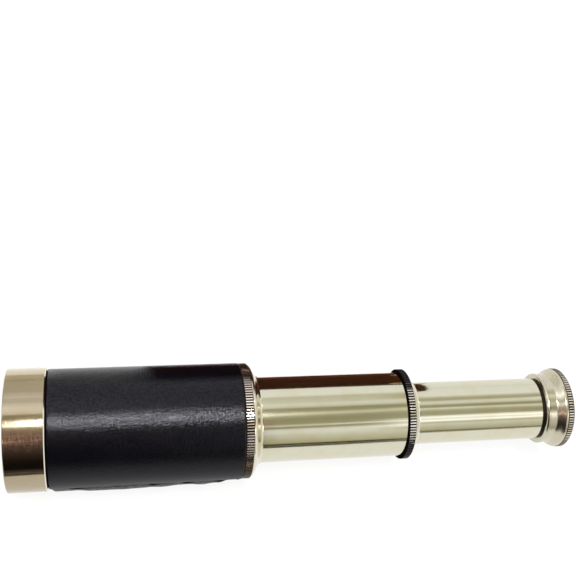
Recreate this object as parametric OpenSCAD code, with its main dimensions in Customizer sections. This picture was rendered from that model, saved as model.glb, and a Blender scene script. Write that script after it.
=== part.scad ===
// Pocket spyglass with a leather covered barrel and two brass draw tubes, lying with both draws out.
// The optical axis runs along X, from the objective towards the eye. +Z is up, and the part lies on z = 0.
// Every turned piece is drawn standing on its own axis and then laid down by on_axis().

/* [Objective ring] */
// Outside diameter of the objective ring; all the other diameters follow from it
ring_d = 32; // [28.8:0.2:36]
// Length of the objective ring along the axis
ring_len = 10.1; // [9:0.1:14]
// Rounding of the ring's outer front corner
ring_round = 0.4; // [0.3:0.1:1.6]
// Bevel on the ring's rear edge, next to the leather
ring_bevel = 0.25; // [0.1:0.05:0.5]
// How far the ring stands out of the leather
ring_proud = 0.5; // [0.3:0.1:1]
// Width of the lip that the objective lens rests against, measured from the barrel's bore
front_lip_w = 1.8; // [1.4:0.1:2.4]
// Thickness of that lip
front_lip_t = 3.2; // [2.6:0.1:4]
// Width of the bevel that leads into the opening
mouth_bevel = 1.6; // [0.8:0.1:2]

/* [Objective lens] */
// Edge thickness of the front lens
crown_edge = 1.2; // [0.8:0.1:1.6]
// Height of the front lens's curve in front of its edge
crown_front_rise = 1.1; // [0.6:0.1:1.5]
// Height of the curve where the two lenses meet
cement_rise = 1.5; // [1:0.1:1.8]
// Edge thickness of the rear lens
flint_edge = 2.6; // [2.4:0.1:3]
// Thickness of the threaded ring that holds the lenses
objective_retainer_t = 1.4; // [1:0.1:1.8]
// Width of that ring
objective_retainer_w = 2.1; // [1.4:0.1:3]
// Width of the flat ring around the curve where the two lenses meet
objective_flat_w = 1.2; // [1:0.1:1.6]

/* [Barrel] */
// Wall of the brass barrel tube
barrel_wall = 0.8; // [0.6:0.05:1]
// Length of the leather between the ring and the collar
leather_len = 50; // [46:0.5:60]
// Thickness of the leather
leather_t = 0.9; // [0.6:0.05:1.1]
// How far the sewn seam stands out of the leather
seam_rise = 1.1; // [0.5:0.1:1.4]
// Width of the sewn seam
seam_w = 2.6; // [2.2:0.1:3.4]
// Width of the seam at its end by the collar
seam_end_w = 2; // [1.6:0.1:2.2]
// Leather left plain between the ring and the seam
seam_front_gap = 2.6; // [2:0.1:5]
// Leather left plain between the seam and the collar
seam_rear_gap = 3; // [2:0.1:6]
// Turn of the seam about the axis, from straight down towards the front side
seam_turn = 72; // [60:1:80]

/* [Barrel collar] */
// How far the knurl of the barrel collar lies below the leather's surface
collar1_step = 0.1; // [0.05:0.05:0.4]
// Width of that knurled rim
collar1_rim_w = 2.2; // [1.6:0.1:3]
// Length of the curved shoulder behind the rim
collar1_shoulder_l = 2.7; // [2.2:0.1:3.4]
// Height of that shoulder over the first draw
collar1_shoulder_h = 3.6; // [2:0.05:3.6]
// Teeth of the knurl
collar1_teeth = 132; // [96:4:144]

/* [First draw] */
// Wall of the first draw tube
draw1_wall = 0.6; // [0.45:0.05:0.7]
// Length of the first draw tube that shows when it is out
draw1_out = 39.3; // [30:0.1:40.5]
// How far the knurl of the first draw's collar stands out of the draw
collar2_proud = 0.9; // [0.6:0.05:1.2]
// Width of that knurled rim
collar2_rim_w = 2; // [1.6:0.1:2.6]
// Length of the curved shoulder behind the rim
collar2_shoulder_l = 2.2; // [1.8:0.1:3]
// Height of that shoulder over the second draw
collar2_shoulder_h = 1.95; // [1.5:0.05:2.2]
// Teeth of the knurl
collar2_teeth = 102; // [80:2:120]

/* [Second draw] */
// Wall of the second draw tube
draw2_wall = 0.5; // [0.4:0.05:0.6]
// Length of the second draw tube that shows when it is out
draw2_out = 35.5; // [27:0.1:36.5]

/* [Draw mechanism] */
// Length of the spigot that each collar screws in with
spigot_len = 5; // [4:0.2:6]
// Wall of that spigot, around the guide sleeve
spigot_wall = 1.56; // [1.2:0.02:1.8]
// Length of a sprung guide sleeve
guide_len = 10.6; // [9:0.2:12]
// Wall of a guide sleeve
guide_wall = 0.7; // [0.55:0.05:0.8]
// Length of the sleeve that is gripped by the collar
guide_seat_len = 4.2; // [3:0.2:5]
// Length of the pad that touches the draw at each finger's tip
guide_pad_len = 1.6; // [1:0.1:2.2]
// How far the fingers are thinned inside and outside, so that they spring
guide_relief = 0.15; // [0.05:0.05:0.25]
// Fingers of a guide sleeve
guide_fingers = 6; // [4:1:8]
// Width of the saw cut between two fingers
guide_slot_w = 0.6; // [0.4:0.1:1]
// Thickness of the lip that hides the sleeve at the collar's rear
collar_lip_t = 2.1; // [1.9:0.1:2.3]
// Wall left at the thin rear edge of that shoulder
collar_edge_t = 0.25; // [0.2:0.05:0.4]
// Length of the stop ring at a draw's inner end
stop_len = 3; // [2:0.2:4]
// Thickness of the stop ring's lip over the tube's end
stop_lip_t = 0.6; // [0.4:0.1:1]
// Depth of the knurl's grooves
knurl_depth = 0.28; // [0.15:0.01:0.35]
// Share of each tooth's pitch that its flat crest takes
knurl_crest = 0.44; // [0.3:0.02:0.6]
// Bevel at the knurl's edges
knurl_bevel = 0.2; // [0.1:0.05:0.3]

/* [Erector] */
// Length of the tube that holds the erecting lenses
erector_len = 18; // [15:0.5:22]
// How far that tube sits behind the front end of the draw
erector_inset = 0.5; // [0.3:0.1:2]
// Length of its threaded seat in the second draw
erector_seat_len = 6; // [4:0.5:8]
// Wall of the erector tube behind the seat
erector_wall = 0.9; // [0.7:0.1:1.2]
// Radial room between the second draw's bore and the erecting lenses
erector_room = 2.2; // [2:0.1:3]
// Width of the lip that each lens rests on
erector_lip = 0.7; // [0.5:0.1:1]
// Edge thickness of an erecting lens
erector_lens_edge = 1.4; // [1:0.1:1.8]
// Height of an erecting lens's curve
erector_lens_rise = 0.9; // [0.5:0.1:1.1]
// Thickness of the ring that holds an erecting lens
erector_ring_t = 1.3; // [1.1:0.1:1.6]
// Thickness of the two stop discs in the draw
stop_disc_t = 0.6; // [0.4:0.1:0.8]
// Hole in the stop disc between the erecting lenses, as a share of the tube's bore
erector_stop_share = 0.4; // [0.2:0.05:0.8]

/* [Eyepiece] */
// Gap between the draw tube and the eyepiece, where the dark neck shows
neck_len = 0.8; // [0.6:0.1:1.6]
// How far that neck lies below the second draw's surface
neck_step = 0.3; // [0.2:0.05:0.45]
// Length of the eyepiece bell
bell_len = 7.6; // [7.2:0.1:8.4]
// How far the thread that the bell screws on lies inside the second draw's bore
bell_thread_step = 0.4; // [0.2:0.1:0.6]
// Length of that thread
bell_thread_len = 2.2; // [1.8:0.1:2.3]
// How far the bead at the front of the bell stands out of the second draw
bead_proud = 1.35; // [1.1:0.05:1.5]
// Width of that bead
bead_w = 1.3; // [1:0.1:1.4]
// Height of that bead over the waist behind it
bead_step = 0.15; // [0.1:0.05:0.3]
// Width of that waist, up to where the bell flares
waist_w = 1.5; // [0.6:0.1:1.8]
// How far the knurl of the eyepiece rim stands out of the second draw
rim_proud = 2.6; // [2.3:0.05:3]
// Width of the knurled rim
rim_w = 1.9; // [1.4:0.1:2.2]
// Teeth of the rim's knurl
rim_teeth = 96; // [72:4:112]
// Plain step between the end of the flare and the knurl
rim_land = 0.3; // [0.1:0.05:0.5]
// Height of the knurl's crests over that step
rim_step = 0.12; // [0.05:0.01:0.14]
// Bevel at the rear edge of the rim
rim_rear_bevel = 0.5; // [0.3:0.05:0.7]
// Width of the flat ring between that bevel and the hollow
rim_face_w = 1.1; // [0.8:0.1:1.4]
// Diameter of the hole that the eye looks through
eye_hole_d = 6.4; // [4:0.2:8]
// Depth of the hollow around that hole
eye_cup_depth = 1.5; // [1:0.1:1.6]
// Thickness of the plate between the hollow and the eye lens
eye_plate_t = 0.6; // [0.5:0.1:0.7]
// Length of the tube in front of the neck that carries the field lens
field_tube_len = 17; // [14:0.5:20]
// Wall of that tube
field_tube_wall = 0.8; // [0.7:0.1:1]
// Length of the thread that holds it in the second draw
holder_seat_len = 5; // [4:0.5:8]
// Radial room between the second draw's bore and the field lens
field_lens_room = 1.4; // [1.3:0.1:2]
// Width of the lip that it rests on
field_lip = 0.5; // [0.4:0.1:0.8]
// Edge thickness of the field lens
field_lens_edge = 1.3; // [1:0.1:1.6]
// Height of the field lens's curve
field_lens_rise = 1.1; // [0.6:0.1:1.2]
// Thickness of the rings that hold the field lens and the eye lens
eyepiece_ring_t = 1.2; // [1.1:0.1:1.3]
// Width of the rings that hold all the small lenses
lens_ring_w = 1.2; // [1:0.1:1.4]
// Width of the spanner slots in the threaded rings
ring_slot_w = 1.2; // [0.8:0.1:1.6]
// Depth of those slots
ring_slot_depth = 0.5; // [0.3:0.05:0.8]
// Radial room between the second draw's bore and the eye lens
eye_lens_room = 1.2; // [1.1:0.1:1.6]
// Edge thickness of the eye lens
eye_lens_edge = 1.2; // [0.9:0.1:1.3]
// Height of the eye lens's curve
eye_lens_rise = 1.1; // [0.6:0.1:1.2]
// Hole in the field stop, as a share of the holder's bore
field_stop_share = 0.57; // [0.4:0.01:0.8]

/* [Fits] */
// Radial gap between pieces that are screwed or pressed together
seat_gap = 0.02; // [0.01:0.01:0.04]
// Radial gap around the objective lenses in the barrel
lens_side_gap = 0.2; // [0.05:0.05:0.3]
// Gap between the two objective lenses where they are cemented
cement_gap = 0.02; // [0.01:0.01:0.04]
// Flat left between a lens's curve and the lip or ring around it
curve_gap = 0.3; // [0.1:0.05:0.4]
// Gap along the axis at the end of the bell's thread
thread_end_gap = 0.1; // [0.05:0.05:0.15]
// Radial gap between a draw tube and its guide sleeve
run_gap = 0.05; // [0.02:0.01:0.09]
// Radial gap between a stop ring and the bore it slides in
stop_side_gap = 0.1; // [0.06:0.01:0.14]
// Radial gap between a collar's rear lip and the draw tube
lip_side_gap = 0.15; // [0.1:0.01:0.2]
// Gap along the axis between a stop ring and its sleeve with the draw out
stop_end_gap = 0.1; // [0.05:0.05:0.2]
// Gap left between a collar and what closes against it
close_gap = 0.3; // [0.2:0.05:0.5]

/* [Hidden] */
$fn = 96;
lens_fn = 128;

// Places along the axis, counted from the objective's front face
leather_x = ring_len;
collar1_x = leather_x + leather_len;
collar1_end_x = collar1_x + collar1_rim_w + collar1_shoulder_l;
collar2_x = collar1_end_x + draw1_out;
collar2_end_x = collar2_x + collar2_rim_w + collar2_shoulder_l;
neck_x = collar2_end_x + draw2_out;
bell_x = neck_x + neck_len;
total_len = bell_x + bell_len;

// Travel of each draw as it closes
draw1_travel = draw1_out - close_gap;
draw2_travel = draw2_out + neck_len - close_gap;
echo("draw travel in mm", draw1_travel, draw2_travel);
echo("closed length in mm", total_len - draw1_travel - draw2_travel);

// Barrel
ring_r = ring_d / 2;
leather_r = ring_r - ring_proud;
barrel_r = leather_r - leather_t;
barrel_in_r = barrel_r - barrel_wall;
barrel_x = front_lip_t;
collar1_r = leather_r - collar1_step;
seam_r = seam_w / 2;
seam_end_r = seam_end_w / 2;
seam_front_x = leather_x + seam_front_gap;
seam_rear_x = collar1_x - seam_rear_gap;

// Objective
aperture_r = barrel_in_r - front_lip_w;
objective_r = barrel_in_r - lens_side_gap;
meeting_r = objective_r - objective_flat_w;
crown_x = front_lip_t;
flint_x = crown_x + crown_edge;
objective_retainer_x = flint_x + flint_edge;

// Radial room that a spigot and its sleeve take between two tubes
draw_room = seat_gap + spigot_wall + seat_gap + guide_wall + run_gap;

// First draw and its guide
draw1_r = barrel_in_r - draw_room;
draw1_in_r = draw1_r - draw1_wall;
collar2_r = draw1_r + collar2_proud;
guide1_rear_x = collar1_end_x - collar_lip_t;
guide1_x = guide1_rear_x - guide_len;
stop1_x = guide1_x - stop_end_gap - stop_len;
draw1_x = stop1_x + stop_lip_t;

// Second draw and its guide
draw2_r = draw1_in_r - draw_room;
draw2_in_r = draw2_r - draw2_wall;
guide2_rear_x = collar2_end_x - collar_lip_t;
guide2_x = guide2_rear_x - guide_len;
stop2_x = guide2_x - stop_end_gap - stop_len;
draw2_x = stop2_x + stop_lip_t;

// Erector
erector_x = draw2_x + erector_inset;
erector_seat_r = draw2_in_r - seat_gap;
erector_lens_r = draw2_in_r - erector_room;
erector_bore_r = erector_lens_r + seat_gap;
erector_body_r = erector_bore_r + erector_wall;
erector_curve_r = erector_lens_r - erector_lip - curve_gap;
erector_light_r = erector_bore_r - erector_lip;
erector_front_seat = erector_ring_t + erector_lens_edge;

// Eyepiece
neck_r = draw2_r - neck_step;
holder_seat_r = draw2_in_r - seat_gap;
bell_thread_r = draw2_in_r - bell_thread_step;
field_lens_r = draw2_in_r - field_lens_room;
field_bore_r = field_lens_r + seat_gap;
field_tube_r = field_bore_r + field_tube_wall;
holder_bore_r = field_bore_r - field_lip;
field_x = neck_x - field_tube_len;
field_seat = eyepiece_ring_t + field_lens_edge;
bead_r = draw2_r + bead_proud;
waist_r = bead_r - bead_step;
rim_r = draw2_r + rim_proud;
eye_lens_r = draw2_in_r - eye_lens_room;
eye_bore_r = eye_lens_r + seat_gap;
eye_plate_x = bell_len - eye_cup_depth - eye_plate_t;

// Lays what stands on its axis along the optical axis, x from the objective's front face
module on_axis(x = 0) {
    translate([x - total_len / 2, 0, ring_r])
        rotate([0, 90, 0])
            children();
}

// Plain tube between two radii
module tube(outer, inner, h) {
    difference() {
        cylinder(r = outer, h = h);
        translate([0, 0, -1])
            cylinder(r = inner, h = h + 2);
    }
}

// Solid of revolution from points given as [radius, place along the axis]
module turned(points) {
    rotate_extrude()
        polygon(points);
}

// Points of an arc from angle a0 to a1 about a centre, as [radius, place along the axis]
function arc(cr, cx, r, a0, a1, steps) =
    [for (i = [0 : steps]) let (a = a0 + (a1 - a0) * i / steps) [cr + r * cos(a), cx + r * sin(a)]];

// Points of a smooth S from radius r0 to r1 over a length l, without its first point
function s_curve(r0, r1, x0, l) =
    [for (i = [1 : 12]) let (t = i / 12) [r0 + (r1 - r0) * (1 - cos(180 * t)) / 2, x0 + l * t]];

// Sphere's radius for a cap of a given base radius and height
function cap_r(base, rise) = (base * base + rise * rise) / (2 * rise);

// Spherical cap standing on z = 0
module cap(base, rise) {
    intersection() {
        translate([0, 0, rise - cap_r(base, rise)])
            sphere(r = cap_r(base, rise), $fn = lens_fn);
        cylinder(r = base + 1, h = rise + 1);
    }
}

// Lens with a flat edge; the front cap rises towards -z and the rear cap towards +z
module lens(r, edge, front_base, front_rise, rear_base, rear_rise) {
    cylinder(r = r, h = edge);
    if (front_rise > 0)
        mirror([0, 0, 1])
            cap(front_base, front_rise);
    if (rear_rise > 0)
        translate([0, 0, edge])
            cap(rear_base, rear_rise);
}

// Straight knurl: flat crests with a V groove after each, and bevelled edges
module knurl(r, w, teeth, front_bevel, rear_bevel) {
    pitch = 360 / teeth;
    outline = [for (i = [0 : teeth - 1], k = [0 : 2])
        let (a = pitch * (i + [0, knurl_crest, (1 + knurl_crest) / 2][k]), q = k == 2 ? r - knurl_depth : r)
        [q * cos(a), q * sin(a)]];
    intersection() {
        linear_extrude(w)
            polygon(outline);
        turned([[0, 0], [r - front_bevel, 0], [r, front_bevel],
            [r, w - rear_bevel], [r - rear_bevel, w], [0, w]]);
    }
}

// Threaded ring with two spanner slots across its rear face
module slotted_ring(outer, inner, t) {
    difference() {
        tube(outer, inner, t);
        translate([-outer - 1, -ring_slot_w / 2, t - ring_slot_depth])
            cube([2 * outer + 2, ring_slot_w, ring_slot_depth + 1]);
    }
}

// Sprung sleeve that guides a draw: gripped at its rear, sawn into fingers from its front
module guide_sleeve(draw_r) {
    contact_r = draw_r + run_gap;
    outer_r = contact_r + guide_wall;
    free_len = guide_len - guide_seat_len;
    difference() {
        turned([
            [contact_r, 0], [contact_r, guide_pad_len],
            [contact_r + guide_relief, guide_pad_len + guide_relief],
            [contact_r + guide_relief, free_len - guide_relief],
            [contact_r, free_len], [contact_r, guide_len],
            [outer_r, guide_len], [outer_r, free_len],
            [outer_r - guide_relief, free_len - guide_relief], [outer_r - guide_relief, 0]
        ]);
        for (i = [0 : guide_fingers - 1])
            rotate([0, 0, i * 360 / guide_fingers])
                translate([contact_r - 1, -guide_slot_w / 2, -1])
                    cube([guide_wall + 2, guide_slot_w, free_len - guide_relief]);
    }
}

// Ring over the inner end of a draw tube, which stops the draw against its guide sleeve
module stop_ring(outer, tube_r, tube_in_r) {
    difference() {
        cylinder(r = outer, h = stop_len);
        translate([0, 0, -1])
            cylinder(r = tube_in_r, h = stop_len + 2);
        translate([0, 0, stop_lip_t])
            cylinder(r = tube_r + seat_gap, h = stop_len);
    }
}

// Screwed-in collar: spigot, knurled rim, curved shoulder and the lip over the guide sleeve
module collar(spigot_r, draw_r, rim_r, rim_w, shoulder_h, shoulder_l, teeth) {
    sleeve_r = draw_r + run_gap + guide_wall + seat_gap;
    lip_r = draw_r + lip_side_gap;
    edge_r = lip_r + collar_edge_t;
    shoulder_r = draw_r + shoulder_h;
    full_l = rim_w + shoulder_l;
    difference() {
        union() {
            translate([0, 0, -spigot_len])
                cylinder(r = spigot_r, h = spigot_len + rim_w);
            knurl(rim_r, rim_w, teeth, knurl_bevel, knurl_bevel);
            turned(concat(
                [[0, rim_w / 2], [shoulder_r, rim_w / 2], [shoulder_r, rim_w]],
                s_curve(shoulder_r, edge_r, rim_w, shoulder_l),
                [[0, full_l]]
            ));
        }
        translate([0, 0, -spigot_len - 1])
            cylinder(r = sleeve_r, h = spigot_len + 1 + full_l - collar_lip_t);
        translate([0, 0, -spigot_len - 1])
            cylinder(r = lip_r, h = spigot_len + 2 + full_l);
    }
}

module objective_ring() {
    color("khaki")
        on_axis()
            turned(concat(
                [[aperture_r, mouth_bevel], [aperture_r + mouth_bevel, 0]],
                arc(ring_r - ring_round, ring_round, ring_round, -90, 0, 6),
                [[ring_r, ring_len - ring_bevel], [ring_r - ring_bevel, ring_len],
                 [barrel_r + seat_gap, ring_len], [barrel_r + seat_gap, front_lip_t],
                 [aperture_r, front_lip_t]]
            ));
}

module objective_front_lens() {
    color("lightcyan", 0.5)
        on_axis(crown_x)
            lens(objective_r, crown_edge, aperture_r - curve_gap, crown_front_rise,
                meeting_r, cement_rise);
}

module objective_rear_lens() {
    color("lightblue", 0.5)
        on_axis(flint_x)
            difference() {
                cylinder(r = objective_r, h = flint_edge);
                translate([0, 0, cement_gap])
                    cap(meeting_r, cement_rise);
                translate([0, 0, -1])
                    cylinder(r = meeting_r, h = 1 + cement_gap);
            }
}

module objective_retainer() {
    color("dimgray")
        on_axis(objective_retainer_x)
            slotted_ring(barrel_in_r - seat_gap, barrel_in_r - seat_gap - objective_retainer_w,
                objective_retainer_t);
}

module main_barrel() {
    color("goldenrod")
        on_axis(barrel_x)
            tube(barrel_r, barrel_in_r, collar1_x - barrel_x);
}

module leather_wrap() {
    color([0.08, 0.08, 0.09])
        on_axis()
            difference() {
                union() {
                    translate([0, 0, leather_x])
                        cylinder(r = leather_r, h = leather_len);
                    rotate([0, 0, -seam_turn])
                        translate([leather_r + seam_rise - seam_r, 0, 0])
                            seam_bead();
                }
                translate([0, 0, leather_x - 1])
                    cylinder(r = barrel_r + seat_gap, h = leather_len + 2);
            }
}

// Sewn seam along the leather, tapering towards the collar
module seam_bead() {
    translate([0, 0, seam_front_x])
        cylinder(r1 = seam_r, r2 = seam_end_r, h = seam_rear_x - seam_front_x);
    translate([0, 0, seam_front_x])
        sphere(r = seam_r);
    translate([0, 0, seam_rear_x])
        sphere(r = seam_end_r);
}

module barrel_collar() {
    color("darkkhaki")
        on_axis(collar1_x)
            collar(barrel_in_r - seat_gap, draw1_r, collar1_r, collar1_rim_w,
                collar1_shoulder_h, collar1_shoulder_l, collar1_teeth);
}

module barrel_guide_sleeve() {
    color("gold")
        on_axis(guide1_x)
            guide_sleeve(draw1_r);
}

module draw_tube_1() {
    color("palegoldenrod")
        on_axis(draw1_x)
            tube(draw1_r, draw1_in_r, collar2_x - draw1_x);
}

module draw_1_stop_ring() {
    color("goldenrod")
        on_axis(stop1_x)
            stop_ring(barrel_in_r - stop_side_gap, draw1_r, draw1_in_r);
}

module draw_1_collar() {
    color([0.25, 0.23, 0.2])
        on_axis(collar2_x)
            collar(draw1_in_r - seat_gap, draw2_r, collar2_r, collar2_rim_w,
                collar2_shoulder_h, collar2_shoulder_l, collar2_teeth);
}

module draw_1_guide_sleeve() {
    color("gold")
        on_axis(guide2_x)
            guide_sleeve(draw2_r);
}

module draw_tube_2() {
    color("palegoldenrod")
        on_axis(draw2_x)
            tube(draw2_r, draw2_in_r, neck_x - draw2_x);
}

module draw_2_stop_ring() {
    color("goldenrod")
        on_axis(stop2_x)
            stop_ring(draw1_in_r - stop_side_gap, draw2_r, draw2_in_r);
}

// Tube with a threaded seat at its front and a lens seat at each end
module erector_tube() {
    color("dimgray")
        on_axis(erector_x)
            difference() {
                union() {
                    cylinder(r = erector_seat_r, h = erector_seat_len);
                    cylinder(r = erector_body_r, h = erector_len);
                }
                translate([0, 0, -1])
                    cylinder(r = erector_light_r, h = erector_len + 2);
                translate([0, 0, -1])
                    cylinder(r = erector_bore_r, h = erector_front_seat + 1);
                translate([0, 0, erector_len - erector_front_seat])
                    cylinder(r = erector_bore_r, h = erector_front_seat + 1);
            }
}

module erector_lens_front() {
    color("lightcyan", 0.5)
        on_axis(erector_x + erector_ring_t)
            lens(erector_lens_r, erector_lens_edge, 0, 0, erector_curve_r, erector_lens_rise);
}

module erector_lens_rear() {
    color("lightcyan", 0.5)
        on_axis(erector_x + erector_len - erector_front_seat)
            lens(erector_lens_r, erector_lens_edge, erector_curve_r, erector_lens_rise, 0, 0);
}

// The two rings that hold the erecting lenses, slotted on their outer faces
module erector_lens_rings() {
    color("goldenrod")
        on_axis(erector_x) {
            translate([0, 0, erector_ring_t])
                mirror([0, 0, 1])
                    slotted_ring(erector_lens_r, erector_lens_r - lens_ring_w, erector_ring_t);
            translate([0, 0, erector_len - erector_ring_t])
                slotted_ring(erector_lens_r, erector_lens_r - lens_ring_w, erector_ring_t);
        }
}

module erector_stop() {
    color("black")
        on_axis(erector_x + erector_len / 2)
            tube(erector_light_r - seat_gap, erector_light_r * erector_stop_share, stop_disc_t);
}

// Tube screwed into the second draw: it carries the field lens, the dark neck and the bell's thread
module eyepiece_holder() {
    color([0.2, 0.17, 0.13])
        on_axis(field_x)
            difference() {
                union() {
                    cylinder(r = field_tube_r, h = field_tube_len);
                    translate([0, 0, field_tube_len - holder_seat_len])
                        cylinder(r = holder_seat_r, h = holder_seat_len);
                    translate([0, 0, field_tube_len])
                        cylinder(r = neck_r, h = neck_len);
                    translate([0, 0, field_tube_len])
                        cylinder(r = bell_thread_r, h = neck_len + bell_thread_len);
                }
                translate([0, 0, -1])
                    cylinder(r = holder_bore_r, h = field_tube_len + neck_len + bell_thread_len + 2);
                translate([0, 0, -1])
                    cylinder(r = field_bore_r, h = field_seat + 1);
            }
}

module field_lens() {
    color("lightcyan", 0.5)
        on_axis(field_x + eyepiece_ring_t)
            lens(field_lens_r, field_lens_edge, field_lens_r - lens_ring_w - curve_gap,
                field_lens_rise, 0, 0);
}

module field_lens_ring() {
    color("goldenrod")
        on_axis(field_x + eyepiece_ring_t)
            mirror([0, 0, 1])
                slotted_ring(field_lens_r, field_lens_r - lens_ring_w, eyepiece_ring_t);
}

module field_stop() {
    color("black")
        on_axis(field_x + field_tube_len - holder_seat_len)
            tube(holder_bore_r - seat_gap, holder_bore_r * field_stop_share, stop_disc_t);
}

// Bell: bead, hollow, flare, knurled rim and the hollow for the eye
module eyepiece_bell() {
    rim_x = bell_len - rim_w;
    flare_r = rim_r - rim_step;
    flare_x = bead_w + waist_w;
    flare_l = rim_x - rim_land - flare_x;
    hollow_r = rim_r - rim_rear_bevel - rim_face_w;
    bead_round = bead_w / 2;
    bead_end_turn = acos(1 - bead_step / bead_round);
    color("tan")
        on_axis(bell_x)
            difference() {
                union() {
                    turned(concat(
                        [[0, 0]],
                        arc(bead_r - bead_round, bead_round, bead_round, -90, bead_end_turn, 6),
                        [[waist_r, flare_x]],
                        s_curve(waist_r, flare_r, flare_x, flare_l),
                        [[flare_r, rim_x], [0, rim_x]]
                    ));
                    translate([0, 0, rim_x])
                        knurl(rim_r, rim_w, rim_teeth, knurl_bevel, rim_rear_bevel);
                }
                translate([0, 0, -1])
                    cylinder(r = bell_thread_r + seat_gap, h = 1 + bell_thread_len + thread_end_gap);
                translate([0, 0, -1])
                    cylinder(r = eye_bore_r, h = eye_plate_x + 1);
                translate([0, 0, -1])
                    cylinder(r = eye_hole_d / 2, h = bell_len + 2);
                translate([0, 0, bell_len - eye_cup_depth])
                    cylinder(r1 = eye_hole_d / 2, r2 = hollow_r, h = eye_cup_depth);
            }
}

module eye_lens() {
    color("lightcyan", 0.5)
        on_axis(bell_x + eye_plate_x - eye_lens_edge)
            lens(eye_lens_r, eye_lens_edge, eye_lens_r - lens_ring_w - curve_gap, eye_lens_rise, 0, 0);
}

module eye_lens_ring() {
    color("goldenrod")
        on_axis(bell_x + eye_plate_x - eye_lens_edge)
            mirror([0, 0, 1])
                slotted_ring(eye_lens_r, eye_lens_r - lens_ring_w, eyepiece_ring_t);
}

objective_ring();
objective_front_lens();
objective_rear_lens();
objective_retainer();
main_barrel();
leather_wrap();
barrel_collar();
barrel_guide_sleeve();
draw_tube_1();
draw_1_stop_ring();
draw_1_collar();
draw_1_guide_sleeve();
draw_tube_2();
draw_2_stop_ring();
erector_tube();
erector_lens_front();
erector_lens_rear();
erector_lens_rings();
erector_stop();
eyepiece_holder();
field_lens();
field_lens_ring();
field_stop();
eyepiece_bell();
eye_lens();
eye_lens_ring();
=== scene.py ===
import math

import bpy
import numpy as np
from mathutils import Euler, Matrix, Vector


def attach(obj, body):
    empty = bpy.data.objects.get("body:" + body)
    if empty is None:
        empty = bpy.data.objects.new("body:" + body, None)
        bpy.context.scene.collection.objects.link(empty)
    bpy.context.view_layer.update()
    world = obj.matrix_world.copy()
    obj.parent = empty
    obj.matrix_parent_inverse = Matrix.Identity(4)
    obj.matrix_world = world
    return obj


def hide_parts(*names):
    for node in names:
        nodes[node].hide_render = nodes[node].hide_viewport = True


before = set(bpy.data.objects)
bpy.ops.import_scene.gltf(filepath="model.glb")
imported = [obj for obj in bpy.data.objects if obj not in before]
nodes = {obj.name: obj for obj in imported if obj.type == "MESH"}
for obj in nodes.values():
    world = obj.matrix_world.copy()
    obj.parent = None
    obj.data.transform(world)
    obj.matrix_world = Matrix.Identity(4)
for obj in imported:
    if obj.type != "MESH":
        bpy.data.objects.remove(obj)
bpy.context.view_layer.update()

# The row frame: the optical axis lies along X at the height AXIS_Z, and the objective's front face
# is at FRONT_X. Stations are millimetres along the axis from that face; radii are millimetres too.
MM, PER_METRE = 0.001, 1000
AXIS_Z = 0.016
FRONT_X = -0.0762
LEATHER_R = 15.5
BARREL_R = 14.62
LEATHER_X0, LEATHER_X1 = 10.1, 60.1


# ---------------------------------------------------------------- camera, floor and light

CAMERA_PLACE = (-0.04975, -0.05803, 0.26759)
CAMERA_TURN = (21.388, -9.527, -4.742)
SENSOR_WIDTH, LENS = 36, 59.64
CLIP_NEAR, CLIP_FAR = 0.01, 20

FLOOR_HALF = 3
FLOOR_COLOR = (0.93, 0.93, 0.93)
# Where the floor is seen directly, mirrored or through glass, this share of it glows.
FLOOR_GLOW_SHARE = 0.86
FLOOR_GLOW, MIRRORED_FLOOR_GLOW = 1.0, 0.92


def make_camera():
    data = bpy.data.cameras.new("camera")
    camera = bpy.data.objects.new("camera", data)
    bpy.context.scene.collection.objects.link(camera)
    camera.location = CAMERA_PLACE
    camera.rotation_euler = Euler([math.radians(a) for a in CAMERA_TURN])
    data.sensor_width = SENSOR_WIDTH
    data.lens = LENS
    data.clip_start, data.clip_end = CLIP_NEAR, CLIP_FAR
    bpy.context.scene.camera = camera


def make_floor():
    """A white floor that glows where it is seen and takes light and shade besides."""
    half = FLOOR_HALF
    floor = flat_card("floor", [(-half, -half, 0), (half, -half, 0), (half, half, 0),
                                (-half, half, 0)])
    m = Material("floor_white")
    m.set(base_color=FLOOR_COLOR, roughness=0.9)
    path = m.node("ShaderNodeLightPath")
    seen = m.math("MAXIMUM", path.outputs["Is Camera Ray"], path.outputs["Is Glossy Ray"])
    seen = m.math("MAXIMUM", seen, path.outputs["Is Transmission Ray"])
    glow = m.node("ShaderNodeEmission")
    strength = m.scaled(path.outputs["Is Glossy Ray"], FLOOR_GLOW, MIRRORED_FLOOR_GLOW)
    m.link(strength, glow.inputs["Strength"])
    mix = m.node("ShaderNodeMixShader")
    m.link(m.times(seen, FLOOR_GLOW_SHARE), mix.inputs[0])
    m.link(m.bsdf.outputs[0], mix.inputs[1])
    m.link(glow.outputs[0], mix.inputs[2])
    m.link(mix.outputs[0], m.output.inputs[0])
    floor.data.materials.append(m.mat)


def make_lamp(name, place, aim, size_x, size_y, power):
    """A rectangular lamp that no mirror shows."""
    data = bpy.data.lights.new(name, "AREA")
    data.shape = "RECTANGLE"
    data.size, data.size_y = size_x, size_y
    data.energy = power
    lamp = bpy.data.objects.new(name, data)
    bpy.context.scene.collection.objects.link(lamp)
    lamp.location = place
    lamp.rotation_euler = (Vector(aim) - Vector(place)).to_track_quat("-Z", "Y").to_euler()
    lamp.visible_glossy = False


# ---------------------------------------------------------------- node and mesh helpers

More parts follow.
